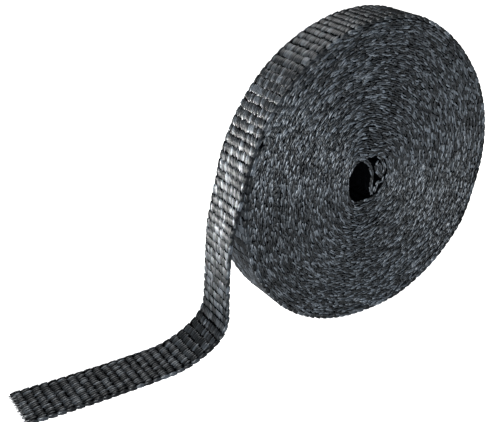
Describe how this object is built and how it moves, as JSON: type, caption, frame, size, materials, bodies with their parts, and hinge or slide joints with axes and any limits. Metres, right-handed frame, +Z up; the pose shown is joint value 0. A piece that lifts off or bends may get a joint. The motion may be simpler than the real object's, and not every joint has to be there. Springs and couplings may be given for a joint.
{
  "type": "exhaust heat wrap",
  "caption": "Flat woven glass heat-insulating tape wound into a tight coil round a small open core, with its outer end peeled off, dropping to the floor and lying along it.",
  "frame": {"origin": "on the floor, under the middle of the coil and its tail together", "axes": "+Y along the coil's axis, away from the front end; the tail points to -X; +Z up"},
  "size_m": [0.2646, 0.025, 0.1593],
  "materials": {
    "charcoal_glass_weave": "coarse woven glass yarn, charcoal grey, matt with a slight fibre sheen"
  },
  "bodies": {
    "root": {"heat_wrap": "charcoal_glass_weave"}
  },
  "joints": []
}
